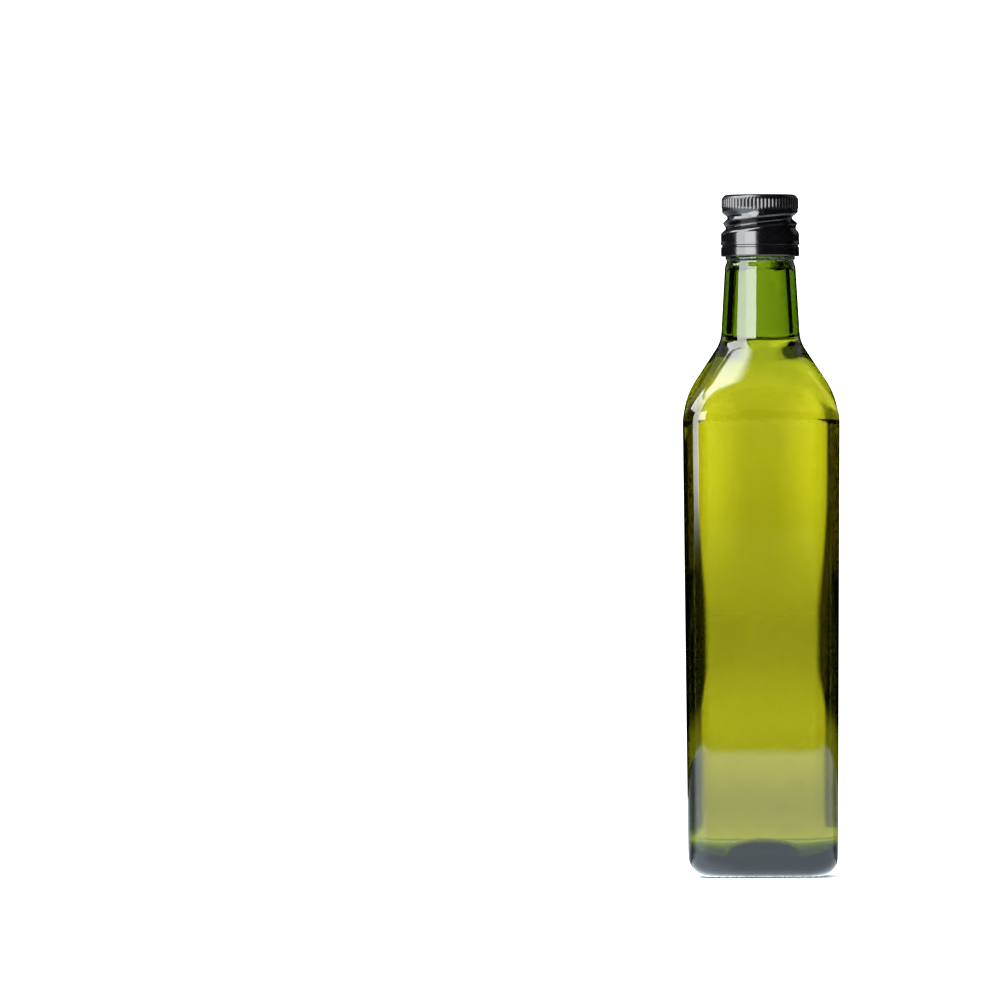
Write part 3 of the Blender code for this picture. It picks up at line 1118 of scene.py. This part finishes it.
@dataclass(frozen=True)
class FarNetFinish:
    """Black net with an open window behind each side of the bottle, narrowest at half its height; only light
    through the glass meets it, so it is painted shade: the dark edges and bands that the glass shows.
    """

    name: str = "far_net"
    middle: float = 1.1 * DEG
    waist: float = 1.9 * DEG
    soft: float = 2.0 * DEG
    widens_up: Point = (0.09, 0.195)
    more_up: float = 6.5 * DEG
    widens_down: Point = (0.025, 0.06)
    more_down: float = 5 * DEG
    thin_below: Point = (0.012, 0.039)
    thin: float = 0.66
    thick: float = 0.995
    neck: Point = (0.238, 0.25)
    neck_dark: Point = (38 * DEG, 155 * DEG)

    def make(self) -> bpy.types.Material:
        """Builds the material.

        Returns:
            The material; how thick the net is depends on the angle and the height.
        """
        maker = MaterialMaker(self.name)
        turn = maker.turn()
        height = maker.axis("Z")
        spread = self.waist + self.more_up * height.over(*self.widens_up) \
            + self.more_down * (1 - height.over(*self.widens_down))
        dark = (maker.off_middle(turn - self.middle) - spread).over(-self.soft, self.soft)
        half_turn = maker.math("WRAP", turn, math.pi, 0.0)
        low, high = self.neck_dark
        edge = 2 * self.soft
        dark_by_neck = half_turn.between((low, low + edge), (high - edge, high))
        by_neck = height.over(*self.neck)
        thickness = self.thin + (self.thick - self.thin) * height.over(*self.thin_below)
        # Painted shade: how dark what is seen through the glass turns here, by angle and height.
        alpha = thickness * (dark * (1 - by_neck) + dark_by_neck * by_neck)
        maker.set_black(Alpha=alpha)
        return maker.material


@dataclass(frozen=True)
class FloorNetFinish:
    """Thin black net on the far floor, with the same open windows; only light through the glass meets it, so
    it paints shade into what the glass shows of the floor.
    """

    name: str = "floor_net"
    middle: float = 0.8 * DEG
    window: Point = (2.5 * DEG, 9 * DEG)
    start: Point = (0.7, 1.0)
    thickness: float = 0.66
    near: Point = (0.12, 0.16)
    near_thickness: float = 0.45
    patch_in: Point = (6 * DEG, 17 * DEG)
    patch_out: Point = (38 * DEG, 44 * DEG)
    patch_start: Point = (0.15, 0.28)
    patch_thickness: float = 0.72
    patch_far: Point = (0.42, 0.65)
    patch_more: float = 0.24

    def make(self) -> bpy.types.Material:
        """Builds the material.

        Returns:
            The material; how thick the net is depends on the angle and on how far out it lies.
        """
        maker = MaterialMaker(self.name)
        reach = maker.reach()
        beside = maker.off_middle(maker.turn() - self.middle).over(*self.window)
        dark = self.thickness * beside * reach.over(*self.start)
        side = maker.math("WRAP", maker.turn(), math.pi / 2, 0.0)
        patch = side.between(self.patch_in, self.patch_out) * reach.over(*self.patch_start)
        near = self.near_thickness * (1 - reach.over(*self.near))
        patch = patch * (self.patch_thickness + self.patch_more * reach.over(*self.patch_far))
        # Painted shade seen through the glass: darker beside the windows, close to the bottle, and in a
        # patch on each side.
        alpha = 1 - (1 - dark) * (1 - near) * (1 - patch)
        maker.set_black(Alpha=alpha)
        return maker.material


@dataclass(frozen=True)
class NearNetFinish:
    """Thin black net close round the bottle, that only light through the glass meets: painted shade in the
    bottle; dim gives how thick it is at some heights, and a band at the oil's level paints a dark line
    there.
    """

    name: str = "near_net"
    middle: float = 1.0 * DEG
    across: Point = (2.0 * DEG, 10.5 * DEG)
    dim: tuple[Point, ...] = ((0.025, 0.60), (0.046, 0.42), (0.06, 0.38), (0.095, 0.54), (0.17, 0.03),
                              (0.205, 0.03), (0.222, 0.30))
    more_in_middle: float = 0.32
    middle_from: Point = (0.10, 0.15)
    middle_to: Point = (0.205, 0.222)
    # A band of the net at the oil's height: painted shade that draws the dark line at the oil's level.
    oil_line_shade_from: Point = (0.188, 0.193)
    oil_line_shade_to: Point = (0.216, 0.221)
    oil_line_shade: float = 0.93

    def make(self) -> bpy.types.Material:
        """Builds the material.

        Returns:
            The material; how thick the net is depends on the height, and in part on the angle: painted shade
            seen through the glass.
        """
        maker = MaterialMaker(self.name)
        height = maker.axis("Z")
        # Painted shade seen through the glass: the net's thickness by height, more in the middle of the
        # body, and a dark band at the oil's level.
        dim: "Channel | float" = self.dim[0][1]
        for (low, before), (high, after) in zip(self.dim, self.dim[1:]):
            dim = dim + (after - before) * height.over(low, high)
        centre = 1 - maker.off_middle(maker.turn() - self.middle).over(*self.across)
        more = self.more_in_middle * centre * height.between(self.middle_from, self.middle_to)
        line = height.between(self.oil_line_shade_from, self.oil_line_shade_to)
        maker.set_black(Alpha=1 - (1 - dim) * (1 - more) * (1 - self.oil_line_shade * line))
        return maker.material


@dataclass(frozen=True)
class SheenFinish:
    """The lit table as reflections see it."""

    name: str = "table_sheen"
    colour: Colour = (0.77, 0.88, 1.0, 1.0)
    radiance: float = 2.4
    edge: Point = (1.5, 1.66)
    behind: float = 0.2
    before_from: Point = ((75 * DEG) ** 2, (100 * DEG) ** 2)
    lit_from: Point = (-168 * DEG, -140 * DEG)
    lit_to: Point = (-108 * DEG, -95 * DEG)
    more_lit: float = 0.45

    def make(self) -> bpy.types.Material:
        """Builds the material.

        Returns:
            The material: brightest before the bottle on the panels' side, dim behind it.
        """
        maker = MaterialMaker(self.name)
        turn = maker.turn()
        share = self.behind + (1 - self.behind) * (turn * turn).over(*self.before_from)
        lit = turn.between(self.lit_from, self.lit_to)
        share = share * (1 + self.more_lit * lit) * (1 - maker.reach().over(*self.edge))
        most = 1 + self.more_lit
        light = maker.blend(share * (1 / most), BLACK, tuple(most * part for part in self.colour))
        maker.set_black(Emission_Color=light, Emission_Strength=self.radiance)
        return maker.material


@dataclass
class Studio:
    """The table, the soft panels, the black nets that only light through the glass meets and that paint
    shade into what the glass shows, and the camera.
    """

    frame_px: float = 1000.0
    metres_per_px: float = 0.397 * MM
    bottle_px: Point = (763.0, 876.6)
    lean: float = 0.265 * DEG
    distance: float = 6.0
    sensor: float = 36.0
    sky: float = 2.0
    floor_radius: float = 60.0
    sheen_radius: float = 1.7
    sheen_z: float = -0.3 * MM
    floor_net_z: float = 0.2 * MM
    far_net: Point = (5.0, 3.0)
    near_net: Point = (0.12, 0.34)
    softboxes: tuple[Softbox, ...] = (
        Softbox("strip_near", azimuth=29 * DEG, distance=0.32, height=0.295, size=(0.185, 0.19),
                radiance=12.5, fade_across=0.03, fade_low=0.1),
        Softbox("panel_left", azimuth=59.5 * DEG, distance=0.9, height=0.975, size=(0.52, 1.74),
                radiance=10.0, fade_across=0.06, fade_low=0.03),
        Softbox("panel_high", azimuth=90 * DEG, distance=0.64, height=0.78, size=(0.8, 0.44),
                radiance=9.5, tilt=-42 * DEG),
        Softbox("panel_top", azimuth=76 * DEG, distance=0.19, height=0.72, size=(0.40, 0.29),
                radiance=11.0, tilt=-70 * DEG, fade_across=0.28, fade_low=0.2),
        Softbox("panel_back_left", azimuth=138 * DEG, distance=0.9, height=0.72, size=(0.5, 0.9),
                radiance=0.25),
        Softbox("panel_back_right", azimuth=-132 * DEG, distance=0.9, height=0.72, size=(0.5, 0.9),
                radiance=0.25),
    )

    @staticmethod
    def lay_disc(name: str, radius: float, height: float, material: bpy.types.Material,
                 rays: Iterable[Ray]) -> None:
        """Lays a disc of the stage.

        Args:
            name: its name.
            radius: its radius.
            height: its height over the table.
            material: its material.
            rays: the kinds of light path that meet it.
        """
        bpy.ops.object.select_all(action="DESELECT")
        bpy.ops.mesh.primitive_circle_add(vertices=96, radius=radius, fill_type="NGON",
                                          location=(0.0, 0.0, height))
        set_stage(name, material, rays)

    def make_floor(self) -> None:
        """Lays the pale floor, its sheen for reflections and the net that paints shade into the light
        through the glass.
        """
        not_glossy = [ray for ray in Ray if ray is not Ray.GLOSSY]
        self.lay_disc("floor", self.floor_radius, 0.0, TableFinish().make(), not_glossy)
        self.lay_disc("table_sheen", self.sheen_radius, self.sheen_z, SheenFinish().make(), [Ray.GLOSSY])
        self.lay_disc("floor_net", self.far_net[0], self.floor_net_z, FloorNetFinish().make(),
                      [Ray.TRANSMISSION])

    @staticmethod
    def hang_net(size: Point, material: bpy.types.Material) -> None:
        """Stands a round net on the table, that only light through the glass meets: painted shade in what
        the glass shows.

        Args:
            size: its radius and height.
            material: its material.
        """
        bpy.ops.object.select_all(action="DESELECT")
        bpy.ops.mesh.primitive_cylinder_add(vertices=128, radius=size[0], depth=2 * size[1],
                                            end_fill_type="NOTHING", location=(0.0, 0.0, 0.0))
        set_stage(material.name, material, [Ray.TRANSMISSION])

    def make_world(self) -> None:
        """Makes the white surround, which shows in no reflection."""
        world = bpy.data.worlds.new("white_studio")
        world.use_nodes = True
        world.node_tree.nodes["Background"].inputs["Color"].default_value = (1.0, 1.0, 1.0, 1.0)
        world.node_tree.nodes["Background"].inputs["Strength"].default_value = self.sky
        bpy.context.scene.world = world
        world.cycles_visibility.glossy = False

    def make_camera(self) -> None:
        """Sets a level long-lens camera that holds the bottle where the photograph has it."""
        half = self.frame_px / 2
        data = bpy.data.cameras.new("camera")
        data.sensor_width = self.sensor
        data.lens = self.sensor * self.distance / (self.frame_px * self.metres_per_px)
        data.clip_end = 200.0
        item = bpy.data.objects.new("camera", data)
        bpy.context.scene.collection.objects.link(item)
        across = (half - self.bottle_px[0]) * self.metres_per_px
        up = (self.bottle_px[1] - half) * self.metres_per_px
        turned = (across * math.cos(self.lean) + up * math.sin(self.lean),
                  up * math.cos(self.lean) - across * math.sin(self.lean))
        item.location = (turned[0], -self.distance, turned[1])
        item.rotation_euler = (math.pi / 2, self.lean, 0.0)
        bpy.context.scene.camera = item

    def build(self) -> None:
        """Sets the whole studio up."""
        self.make_world()
        self.make_floor()
        self.hang_net(self.far_net, FarNetFinish().make())
        self.hang_net(self.near_net, NearNetFinish().make())
        for softbox in self.softboxes:
            softbox.hang()
        self.make_camera()
        view = bpy.context.scene.view_settings
        view.view_transform = "Standard"
        view.look = "None"


def main() -> None:
    """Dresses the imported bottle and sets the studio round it."""
    logging.basicConfig(level=logging.INFO, format="%(name)s: %(message)s")
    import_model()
    Studio().build()
    pieces = Cap().dress() + Bottle().dress()
    LOG.info("pieces: %s", ", ".join(item.name for item in pieces))


if __name__ == "__main__":
    main()
